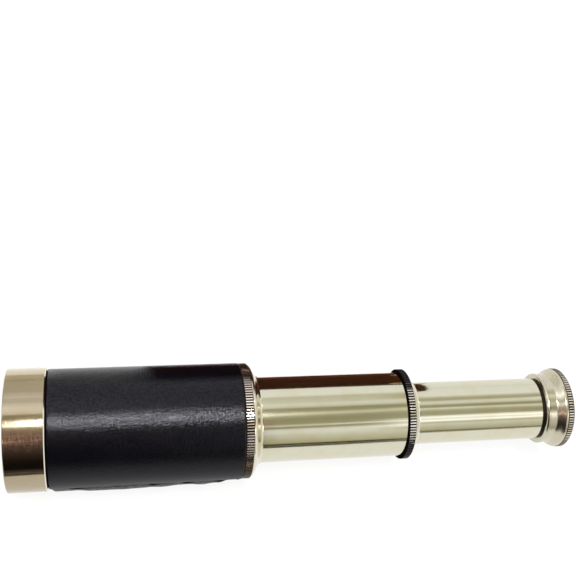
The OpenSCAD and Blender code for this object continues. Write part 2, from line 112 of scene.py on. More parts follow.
class Nodes:
    """Short calls that add nodes to an emptied tree and join them."""

    def __init__(self, tree):
        self.tree = tree
        self.tree.nodes.clear()

    def node(self, kind, **props):
        n = self.tree.nodes.new(kind)
        for key, value in props.items():
            setattr(n, key, value)
        return n

    def link(self, a, b):
        self.tree.links.new(a, b)

    def put(self, value, socket):
        if isinstance(value, bpy.types.NodeSocket):
            self.link(value, socket)
        else:
            socket.default_value = value

    def math(self, op, a, b=0.0, clamp=False):
        n = self.node("ShaderNodeMath", operation=op, use_clamp=clamp)
        for value, socket in zip((a, b), n.inputs):
            self.put(value, socket)
        return n.outputs[0]

    def plus(self, a, b):
        return self.math("ADD", a, b)

    def minus(self, a, b):
        return self.math("SUBTRACT", a, b)

    def times(self, a, b, clamp=False):
        return self.math("MULTIPLY", a, b, clamp)

    def distance(self, y, z):
        return self.math("SQRT", self.plus(self.times(y, y), self.times(z, z)))

    def turn(self, y, z):
        """Angle round the axis in radians: 0 is level towards the camera's side, then upwards."""
        return self.math("ARCTAN2", z, self.times(y, -1))

    def blend(self, a, b, share):
        """Value a, with this share of it replaced by b."""
        return self.plus(self.times(a, self.minus(1, share)), self.times(b, share))

    def ramp_between(self, value, low, high, smooth=False):
        """0 below low, 1 above high; the other way round where low is above high."""
        kind = "SMOOTHSTEP" if smooth else "LINEAR"
        n = self.node("ShaderNodeMapRange", interpolation_type=kind)
        self.put(value, n.inputs["Value"])
        n.inputs["From Min"].default_value = low
        n.inputs["From Max"].default_value = high
        return n.outputs["Result"]

    def scaled(self, value, low, high):
        """0..1 to low..high."""
        n = self.node("ShaderNodeMapRange")
        self.put(value, n.inputs["Value"])
        n.inputs["To Min"].default_value = low
        n.inputs["To Max"].default_value = high
        return n.outputs["Result"]

    def mix(self, factor, a, b):
        """Colour a, with this factor of it replaced by colour b."""
        n = self.node("ShaderNodeMix", data_type="RGBA")
        self.put(factor, n.inputs[0])
        for value, socket in ((a, n.inputs[6]), (b, n.inputs[7])):
            self.put((*value, 1) if isinstance(value, tuple) else value, socket)
        return n.outputs[2]


class Material(Nodes):
    """A material with a Principled shader."""

    def __init__(self, name):
        self.mat = bpy.data.materials.new(name)
        self.mat.use_nodes = True
        super().__init__(self.mat.node_tree)
        self.output = self.node("ShaderNodeOutputMaterial")
        self.bsdf = self.node("ShaderNodeBsdfPrincipled")
        self.link(self.bsdf.outputs[0], self.output.inputs[0])

    def set(self, **values):
        """Sets or links the shader's sockets, named in lower case with underscores."""
        for key, value in values.items():
            if isinstance(value, tuple):
                value = (*value, 1)
            socket = key.replace("_", " ").title().replace("Ior", "IOR")
            self.put(value, self.bsdf.inputs[socket])

    def axis_coordinates(self):
        """Adds x along the optical axis, y and z from it, and the radius r, in millimetres."""
        coord = self.node("ShaderNodeTexCoord")
        split = self.node("ShaderNodeSeparateXYZ")
        self.link(coord.outputs["Object"], split.inputs[0])
        self.x = self.times(split.outputs[0], PER_METRE)
        self.y = self.times(split.outputs[1], PER_METRE)
        self.z = self.times(self.minus(split.outputs[2], AXIS_Z), PER_METRE)
        self.r = self.distance(self.y, self.z)

    def noise(self, scale, detail=3, roughness=0.6):
        """Noise over the axis coordinates, with a scale for each of x, y and z."""
        n = self.node("ShaderNodeTexNoise")
        join = self.node("ShaderNodeCombineXYZ")
        for value, factor, socket in zip((self.x, self.y, self.z), scale, join.inputs):
            self.link(self.times(value, factor), socket)
        self.link(join.outputs[0], n.inputs["Vector"])
        n.inputs["Scale"].default_value = 1
        n.inputs["Detail"].default_value = detail
        n.inputs["Roughness"].default_value = roughness
        return n.outputs[0]

    def bump(self, height, strength, distance):
        """Bends the shader's normal; the distance is in metres."""
        n = self.node("ShaderNodeBump")
        n.inputs["Strength"].default_value = strength
        n.inputs["Distance"].default_value = distance
        self.link(height, n.inputs["Height"])
        self.link(n.outputs[0], self.bsdf.inputs["Normal"])

    def beyond(self, s):
        """1 behind a station, 0 in front of it."""
        return self.math("GREATER_THAN", self.x, station(s))


def station(s):
    """Row-frame x in millimetres of a station."""
    return s + FRONT_X * PER_METRE


def mesh_object(name, verts, faces, smooth_faces=True):
    mesh = bpy.data.meshes.new(name)
    mesh.from_pydata([tuple(v) for v in verts], [], faces)
    mesh.validate()
    mesh.update()
    obj = bpy.data.objects.new(name, mesh)
    bpy.context.scene.collection.objects.link(obj)
    if smooth_faces:
        mesh.polygons.foreach_set("use_smooth", [True] * len(mesh.polygons))
    return obj


def flat_card(name, corners):
    return mesh_object(name, corners, [tuple(range(len(corners)))], smooth_faces=False)


def grid_faces(rows, cols):
    """Quads of a grid that closes on itself along its columns."""
    faces = []
    for i in range(rows - 1):
        for j in range(cols):
            k = (j + 1) % cols
            faces.append((i * cols + j, i * cols + k, (i + 1) * cols + k, (i + 1) * cols + j))
    return faces


# ---------------------------------------------------------------- world

# Brightness of the tent by the angle round the axis in degrees: 0 is level towards the camera's
# side, 90 straight up.
TENT = [
    (0, 0.42), (2.2, 0.04), (5.0, 0.03), (6.8, 0.52), (13, 0.61), (18, 0.65), (30, 0.80),
    (38, 0.94), (45, 0.96), (48, 0.82), (50.5, 0.40), (55, 0.40), (56.5, 0.92), (58.5, 0.92),
    (60, 0.42), (76, 0.36), (82.5, 0.42), (86.5, 0.70), (91, 0.62), (93.5, 0.37), (102.5, 0.34),
    (105.5, 0.72), (113, 0.90), (120, 0.76), (135, 0.68), (140, 1.0), (180, 0.95)]

# Panes and flags of the tent: two angles round the axis, two slopes along it, and the light
# added, which is below 0 for a flag. A slope is x over the distance from the axis, so it is
# positive towards the eyepiece; OPEN stands for no limit.
OPEN = 9.0
PANELS = [
    # towards the eyepiece: for the second draw and the bell
    (44, 65, 0.30, OPEN, 0.70), (88.5, 94.5, 0.30, OPEN, 0.28), (67, 84, 0.30, OPEN, 0.11),
    (119, 131, 0.30, OPEN, -0.21), (34.5, 40.5, 0.30, OPEN, -0.28), (0, 6, 0.30, OPEN, 0.16),
    (93, 103, 0.30, OPEN, 0.05),
    # towards the objective: for the ring and the leather
    (104.5, 126, -OPEN, 0.13, 0.50), (126, 140, -OPEN, 0.13, 0.26),
    (98, 104.5, -0.055, 0.13, 0.45), (148, 184, -OPEN, -0.055, -0.20),
    # narrow and bright, at slopes that only rounded and flared metal reaches
    (117, 120, -OPEN, -0.15, 2.4), (117, 120, 0.49, OPEN, 2.4), (83.5, 86.5, 0.49, OPEN, 0.8),
    (52.5, 55.5, 0.49, OPEN, 3.0), (83.5, 88, -OPEN, -0.15, 2.2),
    # an edge beside the dark corner, and a shade for the flare and the shoulders
    (34, 78, 0.118, 0.132, 0.9), (57, 83, 0.5, 3.5, -0.42)]
# Panes that the dark corner doesn't cover. In order: a faint line on the ring, a bright one on its
# rounded front edge, its white strip, a thin line beside the strip, and the leather's highlight.
PANELS_OVER_CORNER = [
    (65, 67, -0.3, -0.055, 0.30), (54, 57, -OPEN, -0.15, 3.0), (82.8, 86.2, -0.125, -0.055, 3.0),
    (77, 78.4, -0.125, -0.075, 0.45), (83.5, 93, -0.026, 0.078, 66.0)]
PANEL_SOFT_TURN = 1
PANEL_SOFT_SLOPE = 0.02

# The dark corner at the front left lies below these slopes and angles; its gloom rises with the
# angle, between the two of CORNER_RISE.
CORNER_SLOPES = (0.152, 0.136)
CORNER_TURNS = (82, 72)
CORNER_RISE = (10, 75)
GLOOM, LEAST_GLOOM = 0.42, 0.012
CORNER_TINT = (1, 0.72, 0.62)
END_WALL_SLOPES = (0.9, 1.8)
END_WALL_LIGHT = 1.05
# Dim parts of the tent are golden, bright ones white.
TINT_LIGHTS = (0.35, 0.95)
GOLDEN, WHITE = (1, 0.935, 0.58), (1, 1, 1)
LEAST_DISTANCE = 0.001


def make_world():
    """The camera sees plain white, and all else sees the light tent."""
    world = bpy.data.worlds.new("studio")
    bpy.context.scene.world = world
    world.use_nodes = True
    w = Nodes(world.node_tree)
    out = w.node("ShaderNodeOutputWorld")
    back = w.node("ShaderNodeBackground")
    white = w.node("ShaderNodeBackground")
    white.inputs["Color"].default_value = (*WHITE, 1)
    tint, light = tent_light(w)
    w.link(tint, back.inputs["Color"])
    w.link(light, back.inputs["Strength"])
    path = w.node("ShaderNodeLightPath")
    mix = w.node("ShaderNodeMixShader")
    w.link(path.outputs["Is Camera Ray"], mix.inputs[0])
    w.link(back.outputs[0], mix.inputs[1])
    w.link(white.outputs[0], mix.inputs[2])
    w.link(mix.outputs[0], out.inputs[0])


def tent_light(w):
    """Colour and strength of a light tent round the axis: gaps, window panes and flags, a dark
    corner at the front left and a pale end wall."""
    coord = w.node("ShaderNodeTexCoord")
    split = w.node("ShaderNodeSeparateXYZ")
    w.link(coord.outputs["Generated"], split.inputs[0])
    x, y, z = split.outputs
    turn = w.times(w.turn(y, z), 180 / math.pi)
    slope = w.math("DIVIDE", x, w.math("MAXIMUM", w.distance(y, z), LEAST_DISTANCE))
    bands = w.node("ShaderNodeValToRGB")
    w.link(w.math("DIVIDE", turn, 180), bands.inputs[0])
    set_stops(bands, TENT)
    light = add_panels(w, bands.outputs[0], turn, slope, PANELS)
    corner = w.times(w.ramp_between(slope, *CORNER_SLOPES, smooth=True),
                     w.ramp_between(turn, *CORNER_TURNS, smooth=True))
    rise = w.ramp_between(turn, *CORNER_RISE)
    gloom = w.plus(w.times(w.times(rise, rise), GLOOM), LEAST_GLOOM)
    light = w.blend(light, gloom, corner)
    light = add_panels(w, light, turn, slope, PANELS_OVER_CORNER)
    light = w.blend(light, END_WALL_LIGHT, w.ramp_between(slope, *END_WALL_SLOPES, smooth=True))
    tint = w.mix(w.ramp_between(light, *TINT_LIGHTS), GOLDEN, WHITE)
    return w.mix(corner, tint, CORNER_TINT), light


def add_panels(w, light, turn, slope, panels):
    for panel in panels:
        light = w.plus(light, tent_panel(w, turn, slope, *panel))
    return light


def tent_panel(w, turn, slope, turn0, turn1, slope0, slope1, gain):
    """Light added between two angles round the axis and two slopes along it, with soft edges."""
    soft = PANEL_SOFT_TURN
    rise = w.times(w.ramp_between(turn, turn0 - soft, turn0 + soft),
                   w.ramp_between(turn, turn1 + soft, turn1 - soft))
    soft = PANEL_SOFT_SLOPE
    run = w.times(w.ramp_between(slope, slope0 - soft, slope0 + soft, smooth=True),
                  w.ramp_between(slope, slope1 + soft, slope1 - soft, smooth=True))
    return w.times(w.times(rise, run), gain)


def set_stops(ramp, stops):
    """Grey stops given as (degrees, value)."""
    band = ramp.color_ramp
    while len(band.elements) > 1:
        band.elements.remove(band.elements[-1])
    for k, (degrees, value) in enumerate(stops):
        stop = band.elements[0] if k == 0 else band.elements.new(degrees / 180)
        stop.position = degrees / 180
        stop.color = (value, value, value, 1)


# ---------------------------------------------------------------- metals

DRAWN_BRASS = (0.70, 0.685, 0.545)
RING_BRASS = (0.445, 0.379, 0.267)
BELL_BRASS = (0.63, 0.595, 0.475)
SHOULDER_BRASS = (0.77, 0.73, 0.61)
INNER_BRASS = (0.62, 0.48, 0.26)
TARNISH, TARNISH_SHARE = (0.95, 0.86, 0.70), 0.35
LINE_HEIGHT = 0.00002
BLACK_RIM, BLACK_RIM_FINISH = (0.004, 0.0035, 0.0035), (0.022, 0.019, 0.019)
# Rubbed brass on the black rim: partly wear, partly a painted highlight.
RUBBED_RIM_AND_PAINTED_HIGHLIGHT = (0.86, 0.80, 0.76)
RIM_EDGE, RIM_RAGGED = 0.25, 0.7
# Painted pale glints and painted dark streaks for the ring's rougher band.
PAINTED_GLINT_COLOR, PAINTED_GLINT_SHARE = (0.72, 0.53, 0.42), 0.55
PAINTED_DARK_STREAK_COLOR, PAINTED_DARK_STREAK_SHARE = (0.22, 0.15, 0.11), 0.45
PATCH_ROUGHNESS = 0.06

# The ring's rear edge starts at this station and is paler: a painted highlight.
RING_EDGE_X = 9.84
RING_EDGE_PAINTED_HIGHLIGHT = (0.86, 0.80, 0.66)

# Bands of painted highlight and shade, in degrees round the axis: from none to all going up, from
# all to none behind.
RING_PAINTED_GLINT_TURNS = (54, 60), (70, 78)
BELL_PAINTED_LIGHT_TURNS = (10, 34), (108, 150)
COLLAR_PAINTED_LIGHT_TURNS = (36, 43), (94, 142)

# Knurls: first and last station, radius of the crests, how far down their colour reaches.
BELL_KNURL = (150.5, 152.5, 11.1, 0.14)
COLLAR_KNURL = (60.1, 62.3, 15.4, 0.17)
DARK_COLLAR_KNURL = (104.3, 106.3, 12.35, 0.18)
DARK_COLLAR_RIM = (104.3, 106.27)
KNURL_MARGIN = 0.03
CREST_EDGE, GROOVE_SHARE = 0.012, 0.3
KNURL_ROUGHNESS = 0.07


def brass(name, color, roughness, lines, line_depth, smudge):
    """Brass with fine lines, 'turned' round the axis or 'drawn' along it, and faint marks."""
    m = Material(name)
    m.axis_coordinates()
    line_scale = (9, 0.12, 0.12) if lines == "turned" else (0.05, 5, 5)
    fine = m.noise(line_scale)
    marks = m.noise((0.16, 0.2, 0.2), detail=4)
    tone = m.ramp_between(marks, 0.42, 0.68, smooth=True)
    tarnished = tuple(c * t for c, t in zip(color, TARNISH))
    m.tinted = m.mix(m.times(tone, TARNISH_SHARE), color, tarnished)
    m.rough = m.plus(roughness, m.times(m.minus(marks, 0.5), smudge))
    m.rough = m.plus(m.rough, m.times(m.minus(fine, 0.5), smudge))
    m.set(base_color=m.tinted, metallic=1.0, roughness=m.rough)
    m.bump(fine, line_depth, LINE_HEIGHT)
    return m


def knurled(m, x0, x1, crest_r, depth, dark, crest):
    """Between two stations, a knurl with dark grooves and crests in the colour given, which
    carries painted highlight and shade.
    """
    inside = m.times(m.beyond(x0 + KNURL_MARGIN),
                     m.math("LESS_THAN", m.x, station(x1 - KNURL_MARGIN)))
    deep = m.ramp_between(m.r, crest_r - CREST_EDGE, crest_r - depth * GROOVE_SHARE)
    m.tinted = m.mix(inside, m.tinted, m.mix(deep, crest, dark))
    m.set(base_color=m.tinted, roughness=m.plus(m.rough, m.times(inside, KNURL_ROUGHNESS)))


def painted_light_side(m, from_below, from_above):
    """1 on the side where highlight is painted, 0 well below and well behind it; angles from
    level.
    """
    turn = m.turn(m.y, m.z)
    none_below, all_below = (math.radians(a) for a in from_below)
    all_above, none_above = (math.radians(a) for a in from_above)
    return m.times(m.ramp_between(turn, none_below, all_below, smooth=True),
                   m.ramp_between(turn, none_above, all_above, smooth=True))


def rough_band_with_painted_glints(m, from_below, from_above):
    """A rougher band of scratches and smears that scatters the light above it; their colours are
    painted glints and painted dark streaks.
    """
    scratch_and_glint_noise = m.noise((1.7, 0.4, 0.4), detail=2)
    smear_and_streak_noise = m.noise((0.22, 2.2, 2.2), detail=2)
    painted_side = painted_light_side(m, from_below, from_above)
    lines = m.times(m.ramp_between(scratch_and_glint_noise, 0.46, 0.62), painted_side)
    smears_and_dark_streaks = m.times(m.ramp_between(smear_and_streak_noise, 0.48, 0.62), painted_side)
    m.rough = m.plus(m.rough, m.times(m.plus(lines, smears_and_dark_streaks), PATCH_ROUGHNESS))
    # Painted pale glints and painted dark streaks in the band's colour.
    m.tinted = m.mix(m.times(lines, PAINTED_GLINT_SHARE), m.tinted, PAINTED_GLINT_COLOR)
    m.tinted = m.mix(m.times(smears_and_dark_streaks, PAINTED_DARK_STREAK_SHARE), m.tinted, PAINTED_DARK_STREAK_COLOR)
    m.set(roughness=m.rough)


def blackened_rim(m, x0, x1):
    """Black finish between two stations, worn bright in a band round 76 degrees, which is partly
    wear and partly a painted highlight; returns its colour.
    """
    # The bright band faces the light: partly wear, partly a painted highlight.
    middle, unworn, bright = (math.radians(a) for a in (76, 42, 16))
    off = m.math("ABSOLUTE", m.minus(m.turn(m.y, m.z), middle))
    patchy = m.noise((0.3, 0.9, 0.9))
    ragged = m.plus(off, m.times(m.minus(patchy, 0.5), RIM_RAGGED))
    worn = m.ramp_between(ragged, unworn, bright, smooth=True)
    worn = m.times(worn, m.beyond(x0 + 0.22))
    finish = m.mix(m.beyond(x0 + RIM_EDGE), BLACK_RIM, BLACK_RIM_FINISH)
    finish = m.mix(worn, finish, RUBBED_RIM_AND_PAINTED_HIGHLIGHT)
    m.tinted = m.mix(m.math("LESS_THAN", m.x, station(x1)), m.tinted, finish)
    m.set(metallic=m.math("MAXIMUM", worn, m.beyond(x1)),
          specular_ior_level=m.times(m.beyond(x0 + RIM_EDGE), 0.08))
    return finish


def blackened(name):
    """Blackened brass, with a little brown where it is worn."""
    m = Material(name)
    m.axis_coordinates()
    fine = m.noise((6, 0.5, 0.5))
    worn = m.ramp_between(fine, 0.5, 0.8, smooth=True)
    m.set(base_color=m.mix(m.times(worn, 0.3), (0.013, 0.010, 0.007), (0.12, 0.09, 0.05)),
          metallic=0.6, roughness=m.scaled(fine, 0.47, 0.65))
    m.bump(fine, strength=0.3, distance=0.00003)
    return m


def glass(name):
    m = Material(name)
    m.set(base_color=(0.97, 0.99, 0.985), roughness=0.02, transmission_weight=1.0, ior=1.5)
    return m


def make_ring():
    ring = brass("champagne_brass_turned", RING_BRASS, roughness=0.11, lines="turned",
                 line_depth=0.25, smudge=0.06)
    rough_band_with_painted_glints(ring, *RING_PAINTED_GLINT_TURNS)
    # Paler rear edge: a painted highlight.
    ring.set(base_color=ring.mix(ring.beyond(RING_EDGE_X), ring.tinted, RING_EDGE_PAINTED_HIGHLIGHT))
    return ring


def make_bell():
    bell = brass("satin_brass_bell", BELL_BRASS, roughness=0.23, lines="turned",
                 line_depth=0.3, smudge=0.08)
    # Crests pale where the light falls and dark away from it: painted highlight and painted shade.
    worn = bell.mix(painted_light_side(bell, *BELL_PAINTED_LIGHT_TURNS), (0.30, 0.25, 0.19), (0.80, 0.74, 0.63))
    knurled(bell, *BELL_KNURL, dark=(0.018, 0.011, 0.007), crest=worn)
    return bell


def make_collar():
    collar = brass("collar_brass_turned", SHOULDER_BRASS, roughness=0.13, lines="turned",
                   line_depth=0.2, smudge=0.06)
    # Crests pale where the light falls and dark away from it: painted highlight and painted shade.
    worn = collar.mix(painted_light_side(collar, *COLLAR_PAINTED_LIGHT_TURNS), (0.075, 0.055, 0.036),
                      (0.93, 0.83, 0.76))
    knurled(collar, *COLLAR_KNURL, dark=(0.016, 0.009, 0.006), crest=worn)
    return collar


def make_dark_collar():
    collar = brass("dark_collar_brass_turned", SHOULDER_BRASS, roughness=0.13, lines="turned",
                   line_depth=0.2, smudge=0.06)
    # The rim's colour, with its painted highlight, also colours the crests.
    worn = blackened_rim(collar, *DARK_COLLAR_RIM)
    knurled(collar, *DARK_COLLAR_KNURL, dark=BLACK_RIM, crest=worn)
    return collar


def make_metals():
    """Gives the CAD nodes their metals and glass, by the names of their slots."""
    draws = brass("polished_brass_drawn", DRAWN_BRASS, roughness=0.10, lines="drawn",
                  line_depth=0.15, smudge=0.05)
    ring, bell, collar, dark_collar = make_ring(), make_bell(), make_collar(), make_dark_collar()
    inner = brass("inner_brass_turned", INNER_BRASS, roughness=0.3, lines="turned",
                  line_depth=0.4, smudge=0.1)
    black = blackened("blackened_brass")
    lens = glass("lens_glass_clear")
    by_slot = {
        "polished_brass": draws, "satin_brass": ring, "collar_brass": collar,
        "dark_collar_brass": dark_collar, "inner_brass": inner, "blackened_metal": black,
        "lens_glass": lens}
    for obj in nodes.values():
        for slot in obj.material_slots:
            if slot.material and slot.material.name in by_slot:
                slot.material = by_slot[slot.material.name].mat
    nodes["eyepiece_bell"].material_slots[0].material = bell.mat
    nodes["main_barrel"].material_slots[0].material = black.mat


# ---------------------------------------------------------------- leather

# The seam looks towards -Y, SEAM_TURN round the axis from straight down; arc distances from its
# middle are positive upwards, towards the camera.
SEAM_TURN = math.radians(72)
SEAM_X0, SEAM_X1 = 12.0, 57.6
SEAM_HALF = 1.25
STITCH_LINE = -0.98
STITCH_PITCH = 3.1

# Puckers beside the seam: station, half length, distance from the seam's middle, half width of
# the painted shade in its hollow.
PUCKERS = [(17.6, 2.6, 1.38, 0.36), (27.4, 1.0, 1.55, 0.22), (37.2, 1.5, 1.45, 0.38),
           (46.1, 1.7, 1.40, 0.44), (54.5, 1.9, 1.40, 0.44)]
# The ridge: steps up and down (start, length, height) and swells (station, height, half length).
RIDGE_STEPS = [(10.3, 1.6, 0.80), (17.5, 3.5, 0.28), (33, 14, -0.38), (51, 4, -0.20)]
SWELLS = [(29.5, 0.08, 2.0), (36.0, -0.07, 1.3), (39.8, 0.16, 2.0), (49.8, 0.30, 2.2),
          (54.6, 0.24, 1.5)]
SLIT_HALF, SLIT_DEPTH = 0.20, 0.62
GROOVE_HALF, GROOVE_DEPTH = 0.16, 0.22
FOLD_PITCH, FOLD_DEPTH = 4.65, 0.04
# How sharply the painted shade of the puckers ends: their lines times the first, less the second.
PAINTED_SHADE_GAIN, PAINTED_SHADE_CUT = 3.2, 0.9

LEATHER_BLACK, LEATHER_WORN = (0.0012, 0.0012, 0.0028), (0.0024, 0.0024, 0.0046)
DUST_COLOR = (0.21, 0.21, 0.214)
# Painted shade in the puckers' hollows.
PAINTED_SHADE_COLOR = (0.002, 0.002, 0.002)
# Below the first of these angles the leather gets duller, down to the second.
DULL_TURNS = (math.radians(58), math.radians(22))
LEATHER_ROUGHNESS, DULL_ROUGHNESS = (0.18, 0.24), 0.25
PEBBLE_SCALE = 2.4
CUT_EDGE = (LEATHER_X0 + 0.62, LEATHER_X0 + 0.42)

# The leather's two ends: gap to the neighbour, length and drop of its rounding, and the length
# of the closer rows of vertices.
FRONT_GAP, FRONT_ROUND, FRONT_DROP, FRONT_ROWS = 0.12, 0.55, 0.42, 0.6
REAR_GAP, REAR_ROUND, REAR_DROP, REAR_ROWS = 0.08, 0.35, 0.2, 0.5
ROW_STEP, END_ROW_COUNT, END_ROW_POWER = 0.16, 9, 1.6
INNER_GAP = 0.03


def smooth(t):
    t = np.clip(t, 0, 1)
    return t * t * (3 - 2 * t)


def hump(t):
    """1 at 0, falling off on both sides like a bell curve."""
    return np.exp(-t ** 2)


def ridge_height(s):
    """Height of the sewn ridge along the seam, in mm: low at both ends, with swells between its
    puckers."""
    steps = sum(height * smooth((s - start) / length) for start, length, height in RIDGE_STEPS)
    swells = sum(height * hump((s - centre) / half) for centre, height, half in SWELLS)
    return (steps + swells) * smooth((SEAM_X1 - s) / 3.2)


def pucker_lines(s, w, width=None):
    """1 along the puckers beside the seam, falling off within a width or each one's own."""
    lines = 0.0
    for centre, half, offset, own_width in PUCKERS:
        along = (s - centre) / half
        line = offset + 0.15 * along + 0.25 * offset * along ** 2
        lines = lines + np.exp(-np.abs(along) ** 4) * hump((w - line) / (width or own_width))
    return lines


def stitch_groove(s, w):
    """1 along the line that the stitches lie in, less between them."""
    return hump((w - STITCH_LINE) / GROOVE_HALF) * (
        0.75 + 0.25 * np.cos(s * 2 * math.pi / STITCH_PITCH))


def seam_folds(s, w):
    """Faint folds on both sides of the seam, in step with the first pucker."""
    phase = (s - PUCKERS[0][0]) * 2 * math.pi / FOLD_PITCH + 0.6 * np.sin(s * 0.7)
    return np.cos(phase) * hump((np.abs(w) - 2.2) / 1.1)


def leather_height(s, w):
    """Height of the leather over its plain cylinder, at station s and arc distance w from the
    seam, in mm."""
    ends = smooth((s - SEAM_X0) / 1.6) * smooth((SEAM_X1 - s) / 1.6)
    ridge = ridge_height(s) * np.exp(-np.abs(w / SEAM_HALF) ** 2.6)
    slits = SLIT_DEPTH * pucker_lines(s, w, SLIT_HALF)
    groove = GROOVE_DEPTH * stitch_groove(s, w)
    folds = FOLD_DEPTH * seam_folds(s, w)
    uneven = (0.012 * np.sin(s * 0.31 + 1.7 * np.sin(w * 0.11))
              + 0.008 * np.sin(w * 0.23 + s * 0.13))
    end_nub = 0.28 * hump((s - 59.4) / 0.4) * hump((w - 0.2) / 0.5)
    return ridge - ends * (slits + groove + folds) + uneven + end_nub


def rounded_drop(distance, length, drop):
    """A quarter round: the whole drop at no distance from the end, none beyond the length."""
    share = np.clip(distance / length, 0, 1)
    return drop * (1 - np.sqrt(1 - (1 - share) ** 2))


def edge_drop(s):
    """How much the leather turns down at its two ends, in mm."""
    return (rounded_drop(s - LEATHER_X0 - FRONT_GAP, FRONT_ROUND, FRONT_DROP)
            + rounded_drop(LEATHER_X1 - REAR_GAP - s, REAR_ROUND, REAR_DROP))


def leather_stations():
    """Stations of the rows of vertices, closer together at the leather's two ends."""
    from_end = np.linspace(0, 1, END_ROW_COUNT) ** END_ROW_POWER
    front = LEATHER_X0 + FRONT_GAP + FRONT_ROWS * from_end[:-1]
    middle = np.arange(LEATHER_X0 + (FRONT_GAP + FRONT_ROWS),
                       LEATHER_X1 - (REAR_GAP + REAR_ROWS), ROW_STEP)
    rear = LEATHER_X1 - REAR_GAP - REAR_ROWS * from_end[::-1]
    return np.concatenate([front, middle, rear])


def seam_angles():
    """Angles about the axis from the seam, close together on it and wider away from it."""
    near_half, near_step, far_count = 3.2, 0.09, 170
    near = np.arange(-near_half, near_half + 0.0001, near_step) / LEATHER_R
    far = np.linspace(near[-1], 2 * math.pi + near[0], far_count)[1:-1]
    return np.concatenate([near, far])


def with_end_rows(grid):
    """The grid with its first and last rows twice: the outer ones stand for the inside's ends."""
    return np.concatenate([grid[:1], grid, grid[-1:]])


def seam_wear(s, w):
    """Dust and scuffs along the seam, uneven, and stronger at its front end."""
    ends = smooth((s - 10.4) / 0.8) * smooth((59.8 - s) / 3.0)
    uneven = 1 + 0.9 * smooth((20 - s) / 3) + 0.18 * np.sin(s * 1.9 + 1.3 * np.sin(s * 0.8))
    return np.exp(-np.abs(w / 1.45) ** 3) * ends * uneven


def make_leather():
    """The leather cover: its outside, and one row on the barrel at each end."""
    angles = seam_angles()
    arcs = np.where(angles > math.pi, angles - 2 * math.pi, angles) * LEATHER_R
    outer_s, outer_w = np.meshgrid(leather_stations(), arcs, indexing="ij")
    outer_r = LEATHER_R + leather_height(outer_s, outer_w) - edge_drop(outer_s)
    inner_row = np.full((1, len(angles)), BARREL_R + INNER_GAP)
    radius = np.concatenate([inner_row, outer_r, inner_row])
    along, across = with_end_rows(outer_s), with_end_rows(outer_w)
    turn = SEAM_TURN + angles
    x = along * MM + FRONT_X
    y = -np.sin(turn) * radius * MM
    z = -np.cos(turn) * radius * MM + AXIS_Z
    verts = np.stack([x, y, z], -1).reshape(-1, 3)
    obj = mesh_object("leather_cover", verts, grid_faces(*radius.shape))
    outside = np.ones(radius.shape)
    outside[[0, -1]] = 0
    # Painted shade in the puckers' hollows, a share for each vertex.
    painted_shade_share = np.clip(PAINTED_SHADE_GAIN * pucker_lines(along, across) - PAINTED_SHADE_CUT, 0, 1)
    point_values(obj, "seam_wear", outside * seam_wear(along, across))
    point_values(obj, "painted_pucker_shade", outside * painted_shade_share)
    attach(obj, "barrel")
    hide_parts("leather_wrap")
    obj.data.materials.append(leather_material())


def point_values(obj, name, values):
    """A value for each vertex that the material reads by name."""
    attribute = obj.data.attributes.new(name, "FLOAT", "POINT")
    attribute.data.foreach_set("value", values.astype(np.float32).ravel())


def pebble_grain(m):
    """Distance from the middle of the nearest pebble."""
    join = m.node("ShaderNodeCombineXYZ")
    for value, socket in zip((m.x, m.y, m.z), join.inputs):
        m.link(value, socket)
    pebble = m.node("ShaderNodeTexVoronoi", feature="SMOOTH_F1")
    m.link(join.outputs[0], pebble.inputs["Vector"])
    pebble.inputs["Scale"].default_value = PEBBLE_SCALE
    pebble.inputs["Smoothness"].default_value = 0.5
    return pebble.outputs["Distance"]


def leather_color(m, pores, painted_pucker_shade):
    """Two blacks, with pale dust along the seam and painted shade in the puckers."""
    broad = m.noise((0.2, 0.25, 0.25), roughness=0.5)
    tone = m.times(m.ramp_between(broad, 0.4, 0.7), m.ramp_between(pores, 0.35, 0.6))
    black = m.mix(tone, LEATHER_BLACK, LEATHER_WORN)
    dust = m.node("ShaderNodeAttribute", attribute_name="seam_wear").outputs["Fac"]
    scuffed = m.times(dust, m.ramp_between(pores, 0.34, 0.62, smooth=True), clamp=True)
    dusty = m.mix(scuffed, black, DUST_COLOR)
    # Painted shade in the puckers.
    return m.mix(painted_pucker_shade, dusty, PAINTED_SHADE_COLOR)


def leather_gloss(m, pebble, painted_pucker_shade, dull):
    """Strength of the mirroring: uneven over the pebbles, none on the cut edge or in puckers."""
    cut_edge = m.ramp_between(m.x, *(station(s) for s in CUT_EDGE))
    gloss = m.minus(0.5, m.times(dull, 0.16))
    gloss = m.times(gloss, m.minus(1, m.math("MAXIMUM", cut_edge, painted_pucker_shade)))
    grain = m.ramp_between(pebble, 0.62, 0.15)
    sparkle = m.times(m.minus(m.scaled(grain, 0.70, 1.55), 1), m.minus(1, dull))
    return m.times(gloss, m.plus(1, sparkle))


def leather_material():
    """Polished black leather with a fine pebble grain and pores, duller on its lower side."""
    m = Material("black_leather_grain")
    m.axis_coordinates()
    pebble = pebble_grain(m)
    pores = m.noise((5, 4, 4))
    painted_pucker_shade = m.node("ShaderNodeAttribute", attribute_name="painted_pucker_shade").outputs["Fac"]
    dull = m.ramp_between(m.turn(m.y, m.z), *DULL_TURNS, smooth=True)
    m.set(base_color=leather_color(m, pores, painted_pucker_shade), ior=1.38,
          specular_tint=(0.91, 0.915, 1.0),
          roughness=m.plus(m.scaled(pores, *LEATHER_ROUGHNESS), m.times(dull, DULL_ROUGHNESS)),
          specular_ior_level=leather_gloss(m, pebble, painted_pucker_shade, dull))
    height = m.plus(m.times(pebble, 0.9), m.times(pores, 0.2))
    m.bump(height, strength=0.6, distance=0.00009)
    return m.mat


